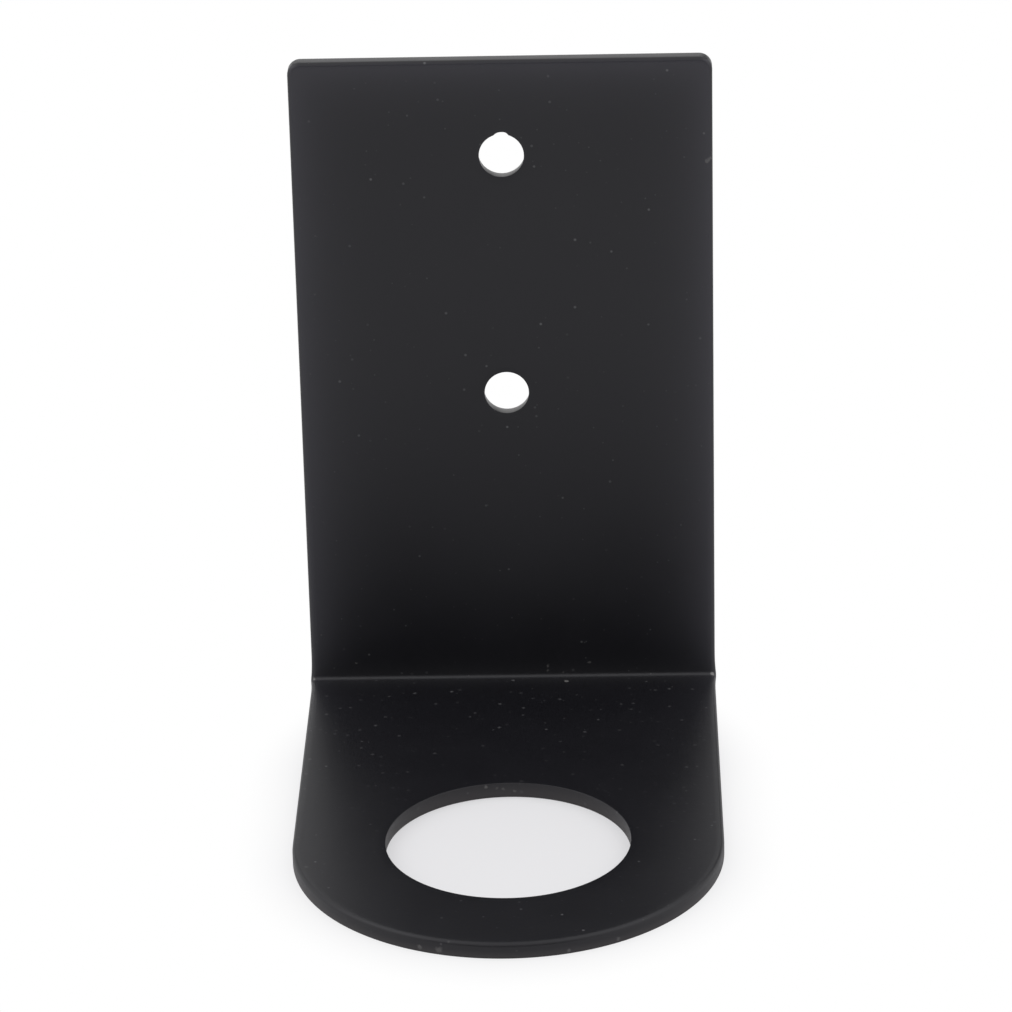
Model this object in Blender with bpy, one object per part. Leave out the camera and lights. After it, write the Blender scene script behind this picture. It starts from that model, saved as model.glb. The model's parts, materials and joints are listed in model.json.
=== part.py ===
"""Wall holder for a hair dryer, bent from one strip of coated sheet steel.

An upright plate carries two screw holes. A single square bend turns the sheet forward into a shelf,
which ends in a full-round nose around the ring that the dryer drops into.

Frame, in metres: the origin is on the wall face, midway between the screw holes. +X is to the right
for someone facing the wall, +Y points into the wall and +Z is up.

The strip is laid out flat, pierced and edge-rounded as a blank, and then folded. A point of the blank
is (x, along, above): along runs down the plate, from the line where the bend starts, and on through
the bend to the nose; above is measured from the middle of the sheet, towards the dryer.
"""
import math

import bmesh
import bpy
from mathutils import Vector

MM = 0.001

# Driving dimensions
WIDTH = 80.0 * MM
HEIGHT = 131.4 * MM
SHEET_THICKNESS = 3.0 * MM
INSIDE_BEND_RADIUS = 0.8 * MM
TOP_CORNER_RADIUS = 2.5 * MM
RING_DIAMETER = 45.5 * MM
RING_REACH = 72.0 * MM
SCREW_HOLE_DIAMETER = 8.5 * MM
SCREW_HOLE_SPACING = 48.5 * MM
SCREW_HOLE_DROP = 18.9 * MM
EDGE_ROUNDING = 0.4 * MM

# Sizes that follow from them
HALF_SHEET = SHEET_THICKNESS / 2
NOSE_RADIUS = WIDTH / 2
OUTSIDE_BEND_RADIUS = INSIDE_BEND_RADIUS + SHEET_THICKNESS
MIDDLE_BEND_RADIUS = INSIDE_BEND_RADIUS + HALF_SHEET
TOP_Z = SCREW_HOLE_SPACING / 2 + SCREW_HOLE_DROP
BASE_Z = TOP_Z - HEIGHT
BEND_Y = -OUTSIDE_BEND_RADIUS
BEND_Z = BASE_Z + OUTSIDE_BEND_RADIUS

# The same places along the flat blank
BEND_LENGTH = MIDDLE_BEND_RADIUS * math.pi / 2
TOP_ALONG = BEND_Z - TOP_Z
UPPER_HOLE_ALONG = TOP_ALONG + SCREW_HOLE_DROP
LOWER_HOLE_ALONG = UPPER_HOLE_ALONG + SCREW_HOLE_SPACING
RING_ALONG = BEND_LENGTH + RING_REACH - OUTSIDE_BEND_RADIUS

# How finely the round stretches are cut, in segments
NOSE_SEGMENTS = 64
RING_SEGMENTS = 96
SCREW_HOLE_SEGMENTS = 40
BEND_SEGMENTS = 12
CORNER_SEGMENTS = 8
EDGE_SEGMENTS = 3

# Edges that turn by more than this are shaded as sharp
SHARP_ANGLE = math.radians(30)

# The black coating
COATING_COLOUR = (0.008, 0.008, 0.009, 1.0)
COATING_ROUGHNESS = 0.42
COATING_METALLIC = 0.0


def clear_scene():
    """Remove whatever the open scene holds."""
    for existing in list(bpy.data.objects):
        bpy.data.objects.remove(existing, do_unlink=True)


def arc(centre, radius, start, end, segments):
    """Points along an arc in the blank's plane, from one angle to another in degrees, ends included."""
    points = []
    for step in range(segments + 1):
        angle = math.radians(start + (end - start) * step / segments)
        points.append((centre[0] + radius * math.cos(angle), centre[1] + radius * math.sin(angle)))
    return points


def strip_outline(inset):
    """The blank's outer edge, drawn in by inset: two small top corners and the full-round nose."""
    corner_x = WIDTH / 2 - TOP_CORNER_RADIUS
    corner_along = TOP_ALONG + TOP_CORNER_RADIUS
    corner = TOP_CORNER_RADIUS - inset
    outline = arc((-corner_x, corner_along), corner, 180, 270, CORNER_SEGMENTS)
    outline += arc((corner_x, corner_along), corner, 270, 360, CORNER_SEGMENTS)
    outline += arc((0.0, RING_ALONG), NOSE_RADIUS - inset, 0, 180, NOSE_SEGMENTS)
    return outline


def round_hole(along, diameter, segments):
    """A hole on the centre line, as a function of how far its edge is drawn into the sheet."""
    return lambda inset: arc((0.0, along), diameter / 2 + inset, 0, 360, segments)[:-1]


def edge_profile():
    """The rounded edge from the upper face to the lower one, as (inset, above)."""
    upper = []
    for step in range(EDGE_SEGMENTS + 1):
        angle = math.radians(90 * step / EDGE_SEGMENTS)
        inset = EDGE_ROUNDING * (1 - math.sin(angle))
        above = HALF_SHEET - EDGE_ROUNDING * (1 - math.cos(angle))
        upper.append((inset, above))
    lower = [(inset, -above) for inset, above in reversed(upper)]
    return upper + lower


def loop_edges(blank, loop):
    """The edges around a closed loop of points."""
    return [blank.edges.get((loop[i - 1], loop[i])) for i in range(len(loop))]


def add_edge_wall(blank, outline):
    """The wall along one cut edge. Returns the edges where it meets the upper and the lower face."""
    loops = []
    for inset, above in edge_profile():
        loops.append([blank.verts.new((x, along, above)) for x, along in outline(inset)])
    for upper, lower in zip(loops, loops[1:]):
        for i in range(len(upper)):
            blank.faces.new((upper[i - 1], upper[i], lower[i], lower[i - 1]))
    return loop_edges(blank, loops[0]), loop_edges(blank, loops[-1])


def add_faces(blank, walls):
    """The two flat faces between the cut edges."""
    upper_edges = [edge for upper, _ in walls for edge in upper]
    lower_edges = [edge for _, lower in walls for edge in lower]
    for edges in (upper_edges, lower_edges):
        bmesh.ops.triangle_fill(blank, edges=edges, use_beauty=True, normal=(0.0, 0.0, 1.0))


def score_bend(blank):
    """Split the blank along straight lines across the bend, so that it can fold there."""
    for step in range(BEND_SEGMENTS + 1):
        line = (0.0, BEND_LENGTH * step / BEND_SEGMENTS, 0.0)
        everything = blank.verts[:] + blank.edges[:] + blank.faces[:]
        bmesh.ops.bisect_plane(blank, geom=everything, plane_co=line, plane_no=(0.0, 1.0, 0.0))


def folded(x, along, above):
    """Where a point of the flat blank lies once the strip is bent."""
    if along <= 0:
        return Vector((x, -HALF_SHEET - above, BEND_Z - along))
    if along >= BEND_LENGTH:
        return Vector((x, BEND_Y - (along - BEND_LENGTH), BASE_Z + HALF_SHEET + above))
    angle = along / MIDDLE_BEND_RADIUS
    radius = MIDDLE_BEND_RADIUS - above
    return Vector((x, BEND_Y + radius * math.cos(angle), BEND_Z - radius * math.sin(angle)))


def face_outwards(solid):
    """Turn every face of the closed solid outwards."""
    bmesh.ops.recalc_face_normals(solid, faces=solid.faces[:])
    if solid.calc_volume(signed=True) < 0:
        bmesh.ops.reverse_faces(solid, faces=solid.faces[:])


def coating():
    """Matte black powder coating."""
    material = bpy.data.materials.new("black_coating")
    material.use_nodes = True
    shader = material.node_tree.nodes["Principled BSDF"]
    shader.inputs["Base Color"].default_value = COATING_COLOUR
    shader.inputs["Roughness"].default_value = COATING_ROUGHNESS
    shader.inputs["Metallic"].default_value = COATING_METALLIC
    material.diffuse_color = COATING_COLOUR
    return material


def make_bracket():
    """The whole holder: one pierced blank, folded once."""
    cut_edges = [
        strip_outline,
        round_hole(RING_ALONG, RING_DIAMETER, RING_SEGMENTS),
        round_hole(UPPER_HOLE_ALONG, SCREW_HOLE_DIAMETER, SCREW_HOLE_SEGMENTS),
        round_hole(LOWER_HOLE_ALONG, SCREW_HOLE_DIAMETER, SCREW_HOLE_SEGMENTS),
    ]
    blank = bmesh.new()
    walls = [add_edge_wall(blank, outline) for outline in cut_edges]
    add_faces(blank, walls)
    score_bend(blank)
    for point in blank.verts:
        point.co = folded(*point.co)
    face_outwards(blank)
    mesh = bpy.data.meshes.new("bracket")
    blank.to_mesh(mesh)
    blank.free()
    mesh.shade_smooth()
    mesh.set_sharp_from_angle(angle=SHARP_ANGLE)
    mesh.materials.append(coating())
    bracket = bpy.data.objects.new("bracket", mesh)
    bpy.context.scene.collection.objects.link(bracket)
    return bracket


clear_scene()
make_bracket()
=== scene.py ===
"""Looks of the wall holder for a hair dryer: the coated sheet, a pale floor, soft light and the camera.

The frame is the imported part, in metres: the origin is on the wall face, midway between the screw
holes, +X is to the right for someone facing the wall, +Y points into the wall and +Z is up.

The holder is laid out flat, pierced and edge-rounded as a blank, and then folded. A point of the blank
is (x, along, above): along runs down the plate, from the line where the bend starts, and on through
the bend to the nose; above is measured from the middle of the sheet, towards the dryer.
"""
import json
import math

import bmesh
import bpy
from mathutils import Matrix, Vector


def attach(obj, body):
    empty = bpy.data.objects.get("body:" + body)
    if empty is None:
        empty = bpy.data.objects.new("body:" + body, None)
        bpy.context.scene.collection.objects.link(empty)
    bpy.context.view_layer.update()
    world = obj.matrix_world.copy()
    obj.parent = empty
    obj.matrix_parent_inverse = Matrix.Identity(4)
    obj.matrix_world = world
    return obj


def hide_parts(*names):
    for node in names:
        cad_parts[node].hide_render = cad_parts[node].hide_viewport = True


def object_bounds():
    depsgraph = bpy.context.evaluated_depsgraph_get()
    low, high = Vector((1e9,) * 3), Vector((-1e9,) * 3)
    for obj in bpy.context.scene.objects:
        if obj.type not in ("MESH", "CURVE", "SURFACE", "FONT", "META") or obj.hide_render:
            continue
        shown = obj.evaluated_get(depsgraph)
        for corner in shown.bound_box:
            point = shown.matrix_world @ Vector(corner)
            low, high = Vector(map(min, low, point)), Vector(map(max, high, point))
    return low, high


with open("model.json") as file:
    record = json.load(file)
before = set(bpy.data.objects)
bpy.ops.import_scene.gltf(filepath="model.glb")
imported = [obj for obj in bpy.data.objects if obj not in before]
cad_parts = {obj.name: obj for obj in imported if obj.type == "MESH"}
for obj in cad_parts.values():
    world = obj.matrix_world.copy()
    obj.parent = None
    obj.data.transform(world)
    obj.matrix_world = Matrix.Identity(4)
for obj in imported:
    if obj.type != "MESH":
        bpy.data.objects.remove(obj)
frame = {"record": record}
CAD_LOW, CAD_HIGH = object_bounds()
MOUNTS = {mount["name"]: mount for mount in frame["record"]["mounts"]}

MM = 0.001

# Sizes that the frame gives
WIDTH = CAD_HIGH.x - CAD_LOW.x
TOP_Z = CAD_HIGH.z
BASE_Z = CAD_LOW.z
SHEET_THICKNESS = MOUNTS["shelf_top"]["pos_m"][2] - MOUNTS["shelf_underside"]["pos_m"][2]

# Sizes of the sheet's features. The screw holes' radius grows by the flare from the front to the back
INSIDE_BEND_RADIUS = 0.8 * MM
TOP_CORNER_RADIUS = 2.5 * MM
RING_DIAMETER = 45.5 * MM
SCREW_HOLE_DIAMETER = 8.5 * MM
SCREW_HOLE_SPACING = 48.5 * MM
SCREW_HOLE_FLARE = 0.27 * MM

# The roundings of the outer front edge, of the holes' front edges and of every back edge, and the
# distance from an edge to the line where the face between the edges begins
EDGE_ROUNDING = 0.8 * MM
HOLE_EDGE_ROUNDING = 0.15 * MM
BACK_EDGE_ROUNDING = 0.15 * MM
EDGE_MARGIN = 1.6 * MM

# The bend squeezes the inside of the sheet out at both ends and draws the outside in
BULGE_INSIDE = 0.36 * MM
BULGE_OUTSIDE = -0.10 * MM
BULGE_REACH = 2.8 * MM

# The notch at the top of the upper hole, where its cut began
NOTCH_X = 0.42 * MM
NOTCH_TO_LEFT = 1.85 * MM
NOTCH_TO_RIGHT = 0.98 * MM
NOTCH_HEIGHT = 0.42 * MM
NOTCH_POWER = 3

# Sizes that follow from them
HALF_SHEET = SHEET_THICKNESS / 2
NOSE_RADIUS = WIDTH / 2
OUTSIDE_BEND_RADIUS = INSIDE_BEND_RADIUS + SHEET_THICKNESS
MIDDLE_BEND_RADIUS = INSIDE_BEND_RADIUS + HALF_SHEET
BEND_Y = -OUTSIDE_BEND_RADIUS
BEND_Z = BASE_Z + OUTSIDE_BEND_RADIUS
BEND_LENGTH = MIDDLE_BEND_RADIUS * math.pi / 2
TOP_ALONG = BEND_Z - TOP_Z
NOSE_ALONG = BEND_LENGTH + BEND_Y - CAD_LOW.y
RING_ALONG = NOSE_ALONG - NOSE_RADIUS
RING_Y = CAD_LOW.y + NOSE_RADIUS
UPPER_HOLE_ALONG = BEND_Z - SCREW_HOLE_SPACING / 2
LOWER_HOLE_ALONG = BEND_Z + SCREW_HOLE_SPACING / 2

# How finely the round stretches are cut, in segments
NOSE_SEGMENTS = 128
RING_SEGMENTS = 160
SCREW_HOLE_SEGMENTS = 144
BEND_SEGMENTS = 20
CORNER_SEGMENTS = 12
EDGE_SEGMENTS = 6

# Lines across the blank outside the bend, so that the bulge fades smoothly
BULGE_LINES = 10
BULGE_LINE_STEP = 0.6 * MM

# The black coating: its colours, how matte it is, and the sizes of its smudges, peel and grain
COATING_DARK = (0.0045, 0.0044, 0.0064, 1.0)
COATING_LIGHT = (0.0062, 0.0061, 0.0085, 1.0)
COATING_ROUGHNESS = 0.42
COATING_SPECULAR = 0.42
COATING_TINT = (0.97, 0.965, 1.0, 1.0)
ROUGHNESS_SPREAD = 0.06
SMUDGE_SIZE = 9.0 * MM
PEEL_SIZE = 1.3 * MM
PEEL_HEIGHT = 0.012 * MM
GRAIN_SIZE = 0.25 * MM
GRAIN_HEIGHT = 0.003 * MM

# Painted highlight: the coating is painted paler towards the outer edge, standing in for light that the
# edges catch, on the plate's front, where it is less at the foot, and a little way along the shelf
EDGE_HIGHLIGHT_COLOUR = (0.043, 0.042, 0.051, 1.0)
EDGE_HIGHLIGHT_REACH = 4.2 * MM
EDGE_HIGHLIGHT_SHARE = 0.82
EDGE_HIGHLIGHT_FOOT_SHARE = 0.35
EDGE_HIGHLIGHT_RISE = 16.0 * MM
EDGE_HIGHLIGHT_START_Y = -8.0 * MM
EDGE_HIGHLIGHT_END_Y = -36.0 * MM

# The cut walls are painted paler, most of all at the foot: a painted reflection of the bright floor
CUT_WALL_REFLECTION_COLOUR = (0.048, 0.044, 0.045, 1.0)
OUTSIDE_CUT_REACH = 1.8 * MM
OUTSIDE_CUT_REFLECTION_SHARES = (0.8, 0.1)
RING_CUT_REACH = 3.0 * MM
RING_CUT_REFLECTION_SHARES = (0.78, 0.27)
# The screw holes' walls are painted paler, least at the front: a painted reflection of the bright room
SCREW_HOLE_REFLECTION_SHARES = (0.1, 0.5)

# The share of a speck's or a chip's radius that is solid, before it fades
SPOT_CORE = 0.3

# Pale dust that settled in the coating, with more of it in the bend and lying on the shelf behind the ring
DUST_COLOUR = (0.10, 0.10, 0.105, 1.0)
DUST_FAINTNESS = 2.0
DUST_SPACING = 3.5 * MM
DUST_RADIUS = 0.36 * MM
FINE_DUST_SPACING = 2.1 * MM
FINE_DUST_RADIUS = 0.24 * MM
FINE_DUST_SHARE = 0.36
BEND_DUST_SHARE = 0.5
BEND_DUST_REACH = 14.0 * MM
LYING_DUST_SPACING = 2.4 * MM
LYING_DUST_RADIUS = 0.5 * MM
LYING_DUST_REACH = 40.0 * MM
BEND_HAZE_SHARE = 0.185
BEND_HAZE_REACH = 2.2 * MM

# Worn places and painted glints, as (x, y, height above the floor, radius), in millimetres, and the
# share of bare steel, or of pale colour for a painted glint
WEAR_AND_HIGHLIGHT_COLOUR = (0.24, 0.235, 0.23, 1.0)
WEAR_RAGGED = 0.9 * MM
WEAR_GRAIN = 0.7 * MM
WEAR_MARKS_AND_GLINTS = [
    # Painted glints at both ends of the bend
    ((39.5, -3.3, 3.3, 0.50), 1.0),
    ((-39.6, -3.3, 3.3, 0.45), 0.7),
    # A nick that runs in from the right edge
    ((38.9, -3.0, 110.8, 0.45), 0.25),
    ((39.3, -3.0, 111.0, 0.45), 0.28),
    ((39.8, -3.0, 111.3, 0.45), 0.35),
    # Chips low on the nose, and one on its upper edge
    ((-15.3, -109.0, 1.0, 0.55), 0.3),
    ((-11.8, -110.2, 1.0, 0.90), 0.25),
    ((11.3, -110.4, 0.6, 0.55), 0.35),
    ((20.1, -106.6, 0.7, 0.55), 0.25),
    ((-10.1, -110.7, 2.9, 0.45), 0.18),
    # Chips on the ring's rear wall
    ((-4.55, -49.7, 2.5, 0.45), 0.35),
    ((-2.4, -49.4, 2.1, 0.40), 0.2),
    ((-1.35, -49.3, 1.8, 0.40), 0.2),
    ((0.8, -49.3, 1.3, 0.40), 0.22),
    # Specks in and beside the bend, and one near the nose's left edge
    ((10.55, -5.2, 3.0, 0.55), 0.8),
    ((9.9, -3.0, 3.9, 0.35), 0.25),
    ((6.9, -3.0, 5.4, 0.40), 0.3),
    ((6.8, -3.0, 4.3, 0.40), 0.3),
    ((15.0, -3.0, 6.0, 0.40), 0.3),
    ((-31.1, -3.0, 6.4, 0.40), 0.4),
    ((-36.9, -82.0, 3.0, 0.60), 0.15),
]

# The floor, which turns white away from the shelf: sooner to the eye than in reflections
FLOOR_COLOUR = (0.88, 0.877, 0.893, 1.0)
FLOOR_NEAR_COLOUR = (0.84, 0.836, 0.853, 1.0)
FLOOR_NEAR_SHARE = 0.55
WHITE = (1.0, 1.0, 1.0, 1.0)
FLOOR_GAP = 0.05 * MM
FLOOR_HALF_SIZE = 12.0
SEEN_WHITE_START = -16.0 * MM
SEEN_WHITE_END = 12.0 * MM
MIRRORED_WHITE_START = -10.0 * MM
MIRRORED_WHITE_END = 70.0 * MM

# The light, in degrees and metres: the room, the soft boxes as (name, azimuth, elevation, size, level),
# and the dark cloths that keep light off the plate's lower front and the shelf's sides, as (name, azimuth,
# width, height of the lower edge above the floor, height of the cloth)
ROOM_COLOUR = (0.82, 0.82, 0.82, 1.0)
SOFT_BOX_DISTANCE = 1.1
SOFT_BOXES = [
    ("soft_box_left", -80, 48, 0.9, 0.8),
    ("soft_box_right", 80, 48, 0.9, 0.6),
    ("soft_box_back", 182, 28, 0.3, 0.5),
]
FLAG_COLOUR = (0.02, 0.02, 0.02, 1.0)
FLAG_DISTANCE = 1.5
FLAGS = [
    ("flag_front", 0, 2.6, 0.0, 0.75),
    ("flag_right", 150, 0.8, 0.3, 0.7),
    ("flag_left", -150, 0.4, 0.4, 0.5),
]

# The camera: image size in pixels, focal length in pixels, and where it stands
IMAGE_WIDTH = 1012
SENSOR_WIDTH_MM = 36.0
FOCAL_PIXELS = 4736.5
CAMERA_YAW = math.radians(1.425)
CAMERA_PITCH = math.radians(23.698)
CAMERA_ROLL = math.radians(-1.349)
CAMERA_DISTANCE = 891.0 * MM
CAMERA_RIGHT = 0.179 * MM
CAMERA_UP = -4.346 * MM
AIM_POINT = Vector((0.0, -33.0 * MM, BASE_Z + 58.0 * MM))


def arc(centre, radius, start, end, segments):
    """Points along an arc in the blank's plane, from one angle to another in degrees, ends included."""
    points = []
    for step in range(segments + 1):
        angle = math.radians(start + (end - start) * step / segments)
        points.append((centre[0] + radius * math.cos(angle), centre[1] + radius * math.sin(angle)))
    return points


def strip_outline(inset, _):
    """The blank's outer edge, drawn in by inset: two small top corners and the full-round nose.

    It is the same at every height in the sheet.
    """
    corner_x = WIDTH / 2 - TOP_CORNER_RADIUS
    corner_along = TOP_ALONG + TOP_CORNER_RADIUS
    corner = TOP_CORNER_RADIUS - inset
    outline = arc((-corner_x, corner_along), corner, 180, 270, CORNER_SEGMENTS)
    outline += arc((corner_x, corner_along), corner, 270, 360, CORNER_SEGMENTS)
    outline += arc((0.0, RING_ALONG), NOSE_RADIUS - inset, 0, 180, NOSE_SEGMENTS)
    return outline


def round_hole(along, diameter, segments, flare=0.0):
    """A hole on the centre line, as a function of how far its edge is drawn in and the height in the sheet.

    Its radius grows by flare from the front of the sheet to the back.
    """
    def outline(inset, above):
        radius = diameter / 2 + flare * (0.5 - above / SHEET_THICKNESS)
        return arc((0.0, along), radius + inset, 0, 360, segments)[:-1]
    return outline


def rounded_corner(rounding):
    """Half the edge, from the upper face to the wall, as (inset, above): margin, then rounding."""
    corner = [(EDGE_MARGIN, HALF_SHEET)]
    for step in range(EDGE_SEGMENTS + 1):
        angle = math.radians(90 * step / EDGE_SEGMENTS)
        inset = rounding * (1 - math.sin(angle))
        above = HALF_SHEET - rounding * (1 - math.cos(angle))
        corner.append((inset, above))
    return corner


def edge_profile(rounding):
    """The edge from the upper face to the lower one, as (inset, above), with its upper corner's rounding."""
    lower = [(inset, -above) for inset, above in reversed(rounded_corner(BACK_EDGE_ROUNDING))]
    return rounded_corner(rounding) + [(0.0, 0.0)] + lower


def loop_edges(blank, loop):
    """The edges around a closed loop of points."""
    return [blank.edges.get((loop[i - 1], loop[i])) for i in range(len(loop))]


def add_edge_wall(blank, outline, rounding):
    """The wall along one cut edge. Returns the edges where it meets the upper and the lower face."""
    loops = []
    for inset, above in edge_profile(rounding):
        loops.append([blank.verts.new((x, along, above)) for x, along in outline(inset, above)])
    for upper, lower in zip(loops, loops[1:]):
        for i in range(len(upper)):
            blank.faces.new((upper[i - 1], upper[i], lower[i], lower[i - 1]))
    return loop_edges(blank, loops[0]), loop_edges(blank, loops[-1])


def add_faces(blank, walls):
    """The two flat faces between the cut edges."""
    upper_edges = [edge for upper, _ in walls for edge in upper]
    lower_edges = [edge for _, lower in walls for edge in lower]
    for edges in (upper_edges, lower_edges):
        bmesh.ops.triangle_fill(blank, edges=edges, use_beauty=True, normal=(0.0, 0.0, 1.0))


def score_bend(blank):
    """Split the blank along straight lines across the bend and a little way beside it."""
    lines = [BEND_LENGTH * step / BEND_SEGMENTS for step in range(BEND_SEGMENTS + 1)]
    for step in range(1, BULGE_LINES + 1):
        lines += [-step * BULGE_LINE_STEP, BEND_LENGTH + step * BULGE_LINE_STEP]
    for line in sorted(lines):
        everything = blank.verts[:] + blank.edges[:] + blank.faces[:]
        bmesh.ops.bisect_plane(blank, geom=everything, plane_co=(0.0, line, 0.0), plane_no=(0.0, 1.0, 0.0))


def bulged(x, along, above):
    """How far the bend pushes a point at the strip's side outwards."""
    from_bend = (along - BEND_LENGTH / 2) / BULGE_REACH
    share = 0.5 + above / SHEET_THICKNESS
    most = BULGE_OUTSIDE + (BULGE_INSIDE - BULGE_OUTSIDE) * share
    near_side = max(0.0, 1 - (WIDTH / 2 - abs(x)) / EDGE_MARGIN)
    return math.copysign(1, x) * most * math.exp(-from_bend * from_bend) * near_side


def notched(x, along):
    """How far the notch raises a point at the top of the upper hole, along the blank."""
    half_width = NOTCH_TO_RIGHT if x > NOTCH_X else NOTCH_TO_LEFT
    across = abs(x - NOTCH_X) / half_width
    off_edge = (UPPER_HOLE_ALONG - along - SCREW_HOLE_DIAMETER / 2) / EDGE_MARGIN
    if across >= 1 or off_edge <= -1 or off_edge >= 1:
        return 0.0
    return -NOTCH_HEIGHT * (1 - across ** NOTCH_POWER) * (1 - max(0.0, off_edge))


def folded(x, along, above):
    """Where a point of the flat blank lies once the strip is bent."""
    if along <= 0:
        return Vector((x, -HALF_SHEET - above, BEND_Z - along))
    if along >= BEND_LENGTH:
        return Vector((x, BEND_Y - (along - BEND_LENGTH), BASE_Z + HALF_SHEET + above))
    angle = along / MIDDLE_BEND_RADIUS
    radius = MIDDLE_BEND_RADIUS - above
    return Vector((x, BEND_Y + radius * math.cos(angle), BEND_Z - radius * math.sin(angle)))


def face_outwards(solid):
    """Turn every face of the closed solid outwards."""
    bmesh.ops.recalc_face_normals(solid, faces=solid.faces[:])
    if solid.calc_volume(signed=True) < 0:
        bmesh.ops.reverse_faces(solid, faces=solid.faces[:])


def make_holder():
    """The whole holder: one pierced blank, folded once."""
    holes = [
        round_hole(RING_ALONG, RING_DIAMETER, RING_SEGMENTS),
        round_hole(UPPER_HOLE_ALONG, SCREW_HOLE_DIAMETER, SCREW_HOLE_SEGMENTS, SCREW_HOLE_FLARE),
        round_hole(LOWER_HOLE_ALONG, SCREW_HOLE_DIAMETER, SCREW_HOLE_SEGMENTS, SCREW_HOLE_FLARE),
    ]
    blank = bmesh.new()
    walls = [add_edge_wall(blank, strip_outline, EDGE_ROUNDING)]
    walls += [add_edge_wall(blank, hole, HOLE_EDGE_ROUNDING) for hole in holes]
    add_faces(blank, walls)
    score_bend(blank)
    for point in blank.verts:
        x, along, above = point.co
        bulged_x = x + bulged(x, along, above)
        notched_along = along + notched(x, along)
        point.co = folded(bulged_x, notched_along, above)
    face_outwards(blank)
    mesh = bpy.data.meshes.new("holder_sheet")
    blank.to_mesh(mesh)
    blank.free()
    mesh.shade_smooth()
    holder = bpy.data.objects.new("holder_sheet", mesh)
    bpy.context.scene.collection.objects.link(holder)
    return holder


def new_material(name):
    """A material with its node tree and its shader."""
    material = bpy.data.materials.new(name)
    material.use_nodes = True
    tree = material.node_tree
    return material, tree, tree.nodes["Principled BSDF"]


def feed(tree, socket, value):
    """Give a socket a number, a vector or another node's output."""
    if isinstance(value, bpy.types.NodeSocket):
        tree.links.new(value, socket)
    else:
        socket.default_value = value


def calc(tree, operation, first, second=0.0):
    """One step of arithmetic on numbers or sockets."""
    node = tree.nodes.new("ShaderNodeMath")
    node.operation = operation
    feed(tree, node.inputs[0], first)
    feed(tree, node.inputs[1], second)
    return node.outputs[0]


def product(tree, first, *others):
    """All the given numbers or sockets multiplied together."""
    for other in others:
        first = calc(tree, "MULTIPLY", first, other)
    return first


def ramp(tree, value, low, high, at_low=0.0, at_high=1.0):
    """A smooth step from at_low to at_high while value goes from low to high."""
    node = tree.nodes.new("ShaderNodeMapRange")
    node.interpolation_type = "SMOOTHSTEP"
    feed(tree, node.inputs["Value"], value)
    node.inputs["From Min"].default_value = low
    node.inputs["From Max"].default_value = high
    node.inputs["To Min"].default_value = at_low
    node.inputs["To Max"].default_value = at_high
    return node.outputs["Result"]


def noise(tree, place, size):
    """Cloudy noise from 0 to 1, with features of about the given size."""
    node = tree.nodes.new("ShaderNodeTexNoise")
    feed(tree, node.inputs["Vector"], place)
    node.inputs["Scale"].default_value = 1 / size
    return node.outputs["Fac"]


def bump(tree, place, size, height):
    """A node that raises noise of the given size to the given height."""
    node = tree.nodes.new("ShaderNodeBump")
    node.inputs["Distance"].default_value = height
    tree.links.new(noise(tree, place, size), node.inputs["Height"])
    return node


def dots(tree, place, spacing, radius):
    """Round dots strewn through space, mostly faint ones, from 0 to 1. A surface shows the slices."""
    node = tree.nodes.new("ShaderNodeTexVoronoi")
    feed(tree, node.inputs["Vector"], place)
    node.inputs["Scale"].default_value = 1 / spacing
    edge = radius / spacing
    dot = ramp(tree, node.outputs["Distance"], SPOT_CORE * edge, edge, 1.0, 0.0)
    chance = tree.nodes.new("ShaderNodeSeparateColor")
    tree.links.new(node.outputs["Color"], chance.inputs["Color"])
    return product(tree, dot, calc(tree, "POWER", chance.outputs["Red"], DUST_FAINTNESS))


def blend_colours(tree, share, first, second):
    """The first colour where share is 0, the second where it is 1."""
    node = tree.nodes.new("ShaderNodeMix")
    node.data_type = "RGBA"
    feed(tree, node.inputs["Factor"], share)
    feed(tree, node.inputs["A"], first)
    feed(tree, node.inputs["B"], second)
    return node.outputs["Result"]


def object_place(tree):
    """The surface point in the holder's frame, as a vector and as its three parts."""
    place = tree.nodes.new("ShaderNodeTexCoord").outputs["Object"]
    parts = tree.nodes.new("ShaderNodeSeparateXYZ")
    tree.links.new(place, parts.inputs[0])
    return place, parts.outputs


def off_point(tree, place, point):
    """Distance from the surface point to a fixed one."""
    node = tree.nodes.new("ShaderNodeVectorMath")
    node.operation = "DISTANCE"
    feed(tree, node.inputs[0], place)
    feed(tree, node.inputs[1], point)
    return node.outputs["Value"]


def length(tree, first, second):
    """The length of a line with the given two legs."""
    squares = calc(tree, "ADD", calc(tree, "POWER", first, 2.0), calc(tree, "POWER", second, 2.0))
    return calc(tree, "SQRT", squares)


def off_outline(tree, parts):
    """Distances from the surface point to the sheet's outer edge: to its sides and nose, and to its top."""
    x, y, z = parts
    forward = calc(tree, "MAXIMUM", calc(tree, "SUBTRACT", RING_Y, y), 0.0)
    side = calc(tree, "SUBTRACT", NOSE_RADIUS, length(tree, x, forward))
    return side, calc(tree, "SUBTRACT", TOP_Z, z)


def off_ring(tree, parts):
    """Distance from the surface point to the ring's edge."""
    x, y, _ = parts
    return calc(tree, "SUBTRACT", length(tree, x, calc(tree, "SUBTRACT", y, RING_Y)), RING_DIAMETER / 2)


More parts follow.
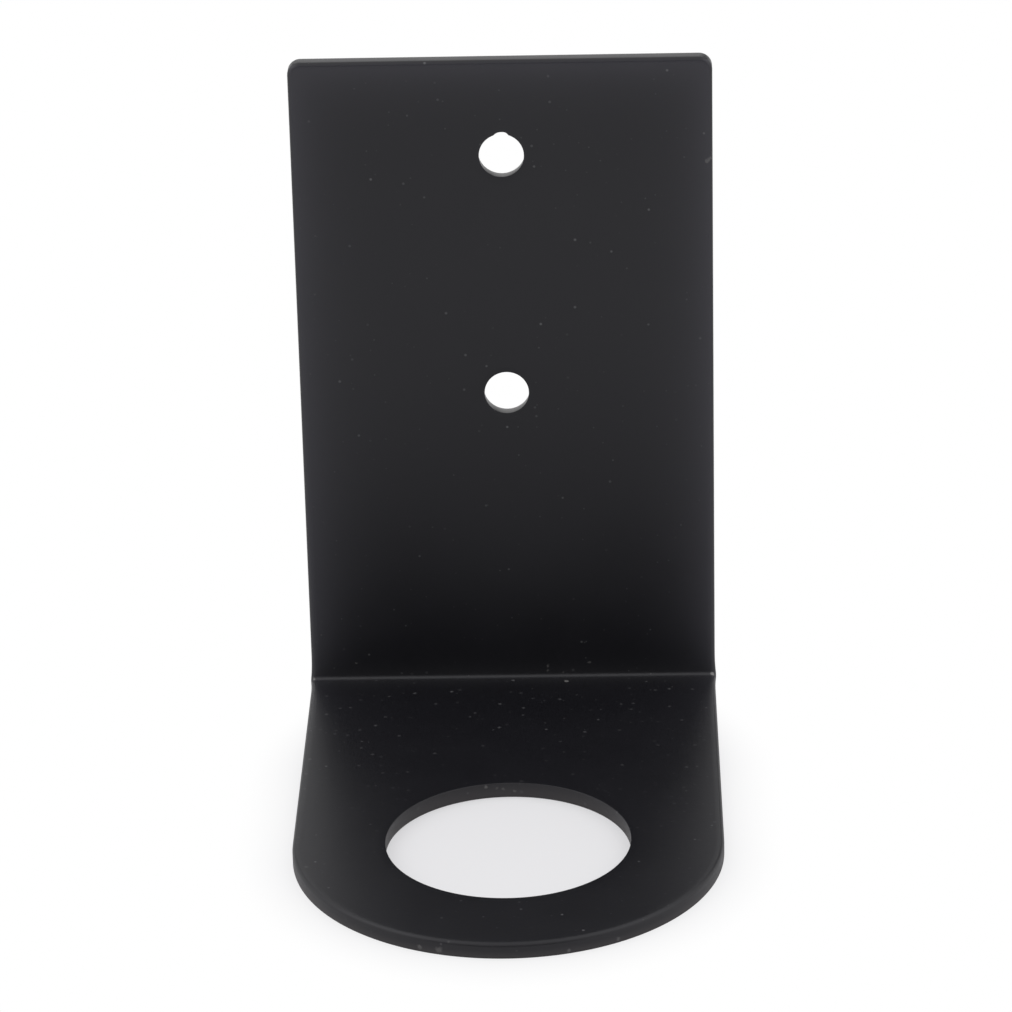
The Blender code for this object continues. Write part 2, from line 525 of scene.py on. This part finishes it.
def off_screw_holes(tree, parts):
    """Distance from the surface point to the nearer screw hole's wall."""
    x, y, z = parts
    nearer_hole = calc(tree, "SUBTRACT", calc(tree, "ABSOLUTE", z), SCREW_HOLE_SPACING / 2)
    depth = calc(tree, "DIVIDE", calc(tree, "ADD", y, SHEET_THICKNESS), SHEET_THICKNESS)
    radius = calc(tree, "ADD", product(tree, depth, SCREW_HOLE_FLARE), SCREW_HOLE_DIAMETER / 2)
    return calc(tree, "SUBTRACT", length(tree, x, nearer_hole), radius)


def fading(tree, distance, reach, most):
    """A share that is most at no distance and dies away over the given reach."""
    return product(tree, calc(tree, "EXPONENT", calc(tree, "DIVIDE", distance, -reach)), most)


def off_bend(tree, parts):
    """Distance from the surface point to the line inside the bend."""
    _, y, z = parts
    forward = calc(tree, "ADD", y, SHEET_THICKNESS)
    return length(tree, forward, calc(tree, "SUBTRACT", z, BASE_Z + SHEET_THICKNESS))


def wear_and_glints(tree, place):
    """The share of bare steel that the worn places show, and of pale colour at the painted glints."""
    ragged = product(tree, calc(tree, "SUBTRACT", noise(tree, place, WEAR_GRAIN), 0.5), WEAR_RAGGED)
    share = 0.0
    for (x, y, height, radius), most in WEAR_MARKS_AND_GLINTS:
        middle = Vector((x * MM, y * MM, BASE_Z + height * MM))
        off_mark = calc(tree, "ADD", off_point(tree, place, middle), ragged)
        mark = ramp(tree, off_mark, SPOT_CORE * radius * MM, radius * MM, most, 0.0)
        share = calc(tree, "MAXIMUM", share, mark)
    return share


def painted_edge_highlight(tree, parts, side, top):
    """The share of the painted edge highlight, from the distances to the sides and to the top."""
    near_side = fading(tree, side, EDGE_HIGHLIGHT_REACH, 1.0)
    near_top = fading(tree, top, EDGE_HIGHLIGHT_REACH, 1.0)
    near_either = calc(tree, "ADD", near_side, near_top)
    near_edge = calc(tree, "SUBTRACT", near_either, product(tree, near_side, near_top))
    on_face = ramp(tree, calc(tree, "MINIMUM", side, top), 0.0, EDGE_ROUNDING)
    near_plate = ramp(tree, parts["Y"], EDGE_HIGHLIGHT_END_Y, EDGE_HIGHLIGHT_START_Y)
    up_plate = ramp(tree, parts["Z"], BASE_Z, BASE_Z + EDGE_HIGHLIGHT_RISE, EDGE_HIGHLIGHT_FOOT_SHARE, 1.0)
    in_front = ramp(tree, parts["Y"], -SHEET_THICKNESS, -HALF_SHEET, 1.0, 0.0)
    return product(tree, near_edge, EDGE_HIGHLIGHT_SHARE, on_face, near_plate, up_plate, in_front)


def over_painted_reflections(tree, parts, off_outside, colour):
    """The colour, with the painted reflections on the cut walls and in the screw holes laid over it."""
    for off_edge, rounding, reach, shares in (
        (off_outside, EDGE_ROUNDING, OUTSIDE_CUT_REACH, OUTSIDE_CUT_REFLECTION_SHARES),
        (off_ring(tree, parts), HOLE_EDGE_ROUNDING, RING_CUT_REACH, RING_CUT_REFLECTION_SHARES),
    ):
        cut = ramp(tree, off_edge, 0.0, rounding / 2, 1.0, 0.0)
        floor_reflection = ramp(tree, parts["Z"], BASE_Z, BASE_Z + reach, *shares)
        # Painted reflection of the floor: the cut walls are paler towards the foot
        colour = blend_colours(tree, product(tree, cut, floor_reflection), colour, CUT_WALL_REFLECTION_COLOUR)
    # Painted reflection: the screw holes' walls are painted paler towards the back
    in_screw_hole = ramp(tree, off_screw_holes(tree, parts), 0.0, HOLE_EDGE_ROUNDING / 2, 1.0, 0.0)
    room_reflection = ramp(tree, parts["Y"], -SHEET_THICKNESS, 0.0, *SCREW_HOLE_REFLECTION_SHARES)
    return blend_colours(tree, product(tree, in_screw_hole, room_reflection), colour, WEAR_AND_HIGHLIGHT_COLOUR)


def dusty(tree, place, parts):
    """The share of pale dust: settled in the coating, lying on the shelf, and a haze in the bend."""
    bend = off_bend(tree, parts)
    fine_share = calc(tree, "ADD", fading(tree, bend, BEND_DUST_REACH, BEND_DUST_SHARE), FINE_DUST_SHARE)
    fine = product(tree, dots(tree, place, FINE_DUST_SPACING, FINE_DUST_RADIUS), fine_share)
    on_shelf = ramp(tree, parts["Z"], BASE_Z + SHEET_THICKNESS, BASE_Z + 2 * SHEET_THICKNESS, 1.0, 0.0)
    near_bend = fading(tree, bend, LYING_DUST_REACH, 1.0)
    lying = product(tree, dots(tree, place, LYING_DUST_SPACING, LYING_DUST_RADIUS), on_shelf, near_bend)
    haze = fading(tree, bend, BEND_HAZE_REACH, BEND_HAZE_SHARE)
    dust = dots(tree, place, DUST_SPACING, DUST_RADIUS)
    for more in (fine, lying, haze):
        dust = calc(tree, "MAXIMUM", dust, more)
    return dust


def coating():
    """Matte black powder coating: fine peel, faint smudges, pale dust, worn places, and painted highlights,
    reflections and glints.
    """
    material, tree, shader = new_material("black_coating")
    place, parts = object_place(tree)
    side, top = off_outline(tree, parts)

    smudges = noise(tree, place, SMUDGE_SIZE)
    colour = blend_colours(tree, smudges, COATING_DARK, COATING_LIGHT)
    # Painted highlight: the coating is painted paler near the outer edges
    colour = blend_colours(tree, painted_edge_highlight(tree, parts, side, top), colour, EDGE_HIGHLIGHT_COLOUR)
    # Painted reflections on the cut walls and in the screw holes
    colour = over_painted_reflections(tree, parts, calc(tree, "MINIMUM", side, top), colour)
    colour = blend_colours(tree, dusty(tree, place, parts), colour, DUST_COLOUR)
    # Worn places, and painted glints at the bend's ends
    colour = blend_colours(tree, wear_and_glints(tree, place), colour, WEAR_AND_HIGHLIGHT_COLOUR)
    tree.links.new(colour, shader.inputs["Base Color"])

    spread = product(tree, smudges, ROUGHNESS_SPREAD)
    roughness = calc(tree, "ADD", spread, COATING_ROUGHNESS - ROUGHNESS_SPREAD / 2)
    tree.links.new(roughness, shader.inputs["Roughness"])
    shader.inputs["Specular IOR Level"].default_value = COATING_SPECULAR
    shader.inputs["Specular Tint"].default_value = COATING_TINT

    peel = bump(tree, place, PEEL_SIZE, PEEL_HEIGHT)
    grain = bump(tree, place, GRAIN_SIZE, GRAIN_HEIGHT)
    tree.links.new(peel.outputs["Normal"], grain.inputs["Normal"])
    tree.links.new(grain.outputs["Normal"], shader.inputs["Normal"])
    return material


def ray_kinds(tree):
    """1 or 0 for a ray that comes straight from the camera, and for one that a gloss or glass sends on."""
    path = tree.nodes.new("ShaderNodeLightPath").outputs
    return path["Is Camera Ray"], calc(tree, "MAXIMUM", path["Is Glossy Ray"], path["Is Transmission Ray"])


def floor_finish():
    """Pale matte paper that runs out to white away from the holder."""
    material, tree, shader = new_material("pale_floor")
    shader.inputs["Base Color"].default_value = FLOOR_COLOUR
    shader.inputs["Roughness"].default_value = 1.0
    shader.inputs["Specular IOR Level"].default_value = 0.0
    _, (x, y, _) = object_place(tree)
    along = calc(tree, "MINIMUM", calc(tree, "MAXIMUM", y, RING_Y), -NOSE_RADIUS)
    beside = calc(tree, "SUBTRACT", y, along)
    away = calc(tree, "SUBTRACT", length(tree, x, beside), NOSE_RADIUS)
    seen, in_mirror = ray_kinds(tree)
    runs_out = ramp(tree, away, SEEN_WHITE_START, SEEN_WHITE_END)
    seen_share = ramp(tree, away, SEEN_WHITE_START, SEEN_WHITE_END, FLOOR_NEAR_SHARE, 1.0)
    mirrored_share = ramp(tree, away, MIRRORED_WHITE_START, MIRRORED_WHITE_END)
    to_eye = product(tree, seen, seen_share)
    to_mirror = product(tree, in_mirror, mirrored_share)
    glow = tree.nodes.new("ShaderNodeEmission")
    shown = blend_colours(tree, calc(tree, "MAXIMUM", runs_out, in_mirror), FLOOR_NEAR_COLOUR, WHITE)
    tree.links.new(shown, glow.inputs["Color"])
    mix = tree.nodes.new("ShaderNodeMixShader")
    tree.links.new(calc(tree, "MAXIMUM", to_eye, to_mirror), mix.inputs["Fac"])
    tree.links.new(shader.outputs["BSDF"], mix.inputs[1])
    tree.links.new(glow.outputs["Emission"], mix.inputs[2])
    tree.links.new(mix.outputs["Shader"], tree.nodes["Material Output"].inputs["Surface"])
    return material


def make_panel(name, corners, material):
    """One flat four-cornered piece of the studio."""
    mesh = bpy.data.meshes.new(name)
    mesh.from_pydata(corners, [], [(0, 1, 2, 3)])
    mesh.materials.append(material)
    panel = bpy.data.objects.new(name, mesh)
    bpy.context.scene.collection.objects.link(panel)
    return panel


def make_floor():
    """A wide plain floor just under the shelf."""
    level = BASE_Z - FLOOR_GAP
    half = FLOOR_HALF_SIZE
    corners = [(-half, -half, level), (half, -half, level), (half, half, level), (-half, half, level)]
    make_panel("floor", corners, floor_finish())


def make_flags():
    """The dark cloths, upright around the holder. No camera sees them."""
    material, _, shader = new_material("dark_cloth")
    shader.inputs["Base Color"].default_value = FLAG_COLOUR
    shader.inputs["Roughness"].default_value = 1.0
    for name, azimuth, width, foot, height in FLAGS:
        turn = math.radians(azimuth)
        middle = Vector((math.sin(turn), -math.cos(turn), 0.0)) * FLAG_DISTANCE
        middle.z = BASE_Z + foot
        half = Vector((math.cos(turn), math.sin(turn), 0.0)) * width / 2
        rise = Vector((0.0, 0.0, height))
        corners = [middle - half, middle + half, middle + half + rise, middle - half + rise]
        flag = make_panel(name, corners, material)
        flag.visible_camera = False


def make_light():
    """An even room, white to the eye and in reflections, with soft boxes around the holder."""
    world = bpy.data.worlds.new("soft_room")
    world.use_nodes = True
    tree = world.node_tree
    seen, in_mirror = ray_kinds(tree)
    shown = blend_colours(tree, calc(tree, "MAXIMUM", seen, in_mirror), ROOM_COLOUR, WHITE)
    tree.links.new(shown, tree.nodes["Background"].inputs["Color"])
    bpy.context.scene.world = world
    for name, azimuth, elevation, size, level in SOFT_BOXES:
        lamp = bpy.data.lights.new(name, "AREA")
        lamp.shape = "SQUARE"
        lamp.size = size
        lamp.energy = level * math.pi * size ** 2
        flat = math.cos(math.radians(elevation))
        towards = Vector((
            flat * math.sin(math.radians(azimuth)),
            -flat * math.cos(math.radians(azimuth)),
            math.sin(math.radians(elevation)),
        ))
        box = bpy.data.objects.new(name, lamp)
        box.location = AIM_POINT + towards * SOFT_BOX_DISTANCE
        box.rotation_euler = towards.to_track_quat("Z", "Y").to_euler()
        box.visible_camera = False
        bpy.context.scene.collection.objects.link(box)


def make_camera():
    """A long lens in front of the plate, looking down at it."""
    back = Vector((
        math.sin(CAMERA_YAW) * math.cos(CAMERA_PITCH),
        -math.cos(CAMERA_YAW) * math.cos(CAMERA_PITCH),
        math.sin(CAMERA_PITCH),
    ))
    level_right = Vector((math.cos(CAMERA_YAW), math.sin(CAMERA_YAW), 0.0))
    level_up = back.cross(level_right)
    right = math.cos(CAMERA_ROLL) * level_right + math.sin(CAMERA_ROLL) * level_up
    up = math.cos(CAMERA_ROLL) * level_up - math.sin(CAMERA_ROLL) * level_right
    place = AIM_POINT + back * CAMERA_DISTANCE + right * CAMERA_RIGHT + up * CAMERA_UP
    lens = bpy.data.cameras.new("camera")
    lens.sensor_width = SENSOR_WIDTH_MM
    lens.lens = FOCAL_PIXELS / IMAGE_WIDTH * SENSOR_WIDTH_MM
    camera = bpy.data.objects.new("camera", lens)
    camera.matrix_world = Matrix.Translation(place) @ Matrix((right, up, back)).transposed().to_4x4()
    bpy.context.scene.collection.objects.link(camera)
    bpy.context.scene.camera = camera


bpy.context.scene.view_settings.view_transform = "Standard"
make_camera()
make_light()
make_flags()
make_floor()
holder = make_holder()
holder.data.materials.append(coating())
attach(holder, "root")
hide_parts("bracket")
